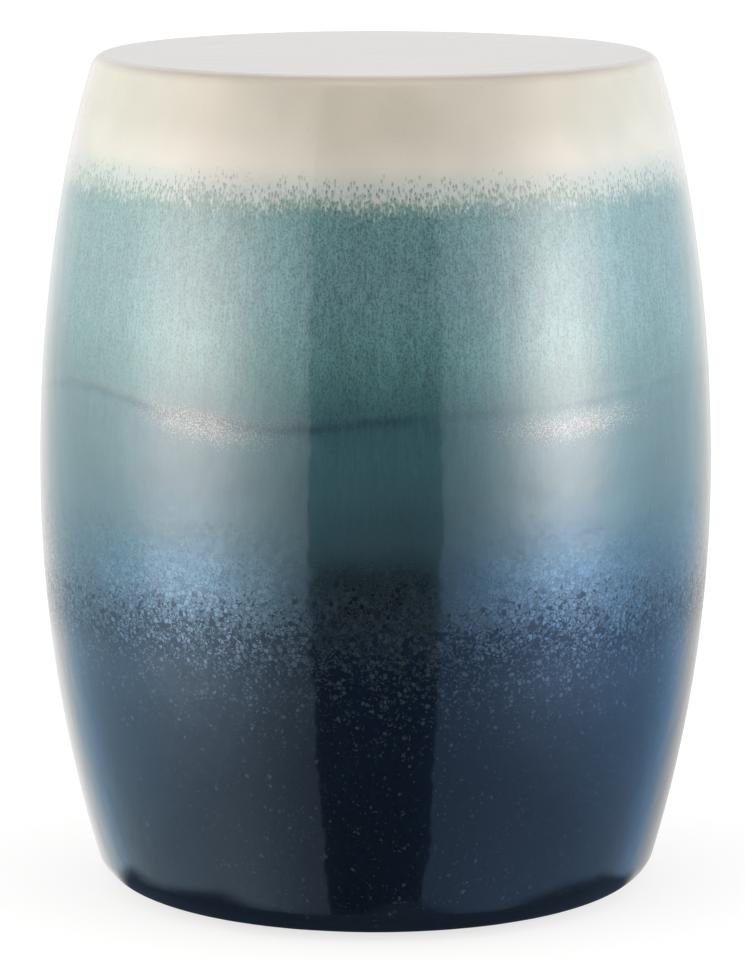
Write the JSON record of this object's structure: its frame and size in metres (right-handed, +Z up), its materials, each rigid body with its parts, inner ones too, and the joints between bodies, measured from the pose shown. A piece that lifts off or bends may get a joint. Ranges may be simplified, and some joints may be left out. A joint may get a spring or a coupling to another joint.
{
  "type": "garden stool",
  "caption": "Barrel-shaped hollow ceramic garden stool with a flat closed seat, an open underside and banded reactive glaze, to sit on or to use as a side table.",
  "frame": {"origin": "on the floor, under the middle of the stool", "axes": "+Z up along the drum's axis, -Y towards the side seen in the picture, +X to the right there"},
  "size_m": [0.369, 0.369, 0.457],
  "materials": {
    "bare_stoneware": "matt fired clay, unglazed inside and under the foot",
    "glaze_cream": "glossy cream glaze with brown specks at the rim",
    "glaze_upper_teal": "glossy streaked grey-teal glaze with fine pits",
    "glaze_lower_teal": "glossy deep teal glaze with pale flow marks under the run line",
    "glaze_navy": "glossy navy glaze with sparse pale speckles",
    "pad_rubber": "matt black bumper rubber",
    "tape_adhesive": "double-sided adhesive film"
  },
  "bodies": {
    "root": {"drum_body": "bare_stoneware", "glaze_cream": "glaze_cream", "glaze_upper_teal": "glaze_upper_teal", "glaze_lower_teal": "glaze_lower_teal", "glaze_navy": "glaze_navy", "rubber_pad_1": "pad_rubber", "rubber_pad_2": "pad_rubber", "rubber_pad_3": "pad_rubber", "rubber_pad_4": "pad_rubber", "adhesive_disc_1": "tape_adhesive", "adhesive_disc_2": "tape_adhesive", "adhesive_disc_3": "tape_adhesive", "adhesive_disc_4": "tape_adhesive"}
  },
  "joints": []
}
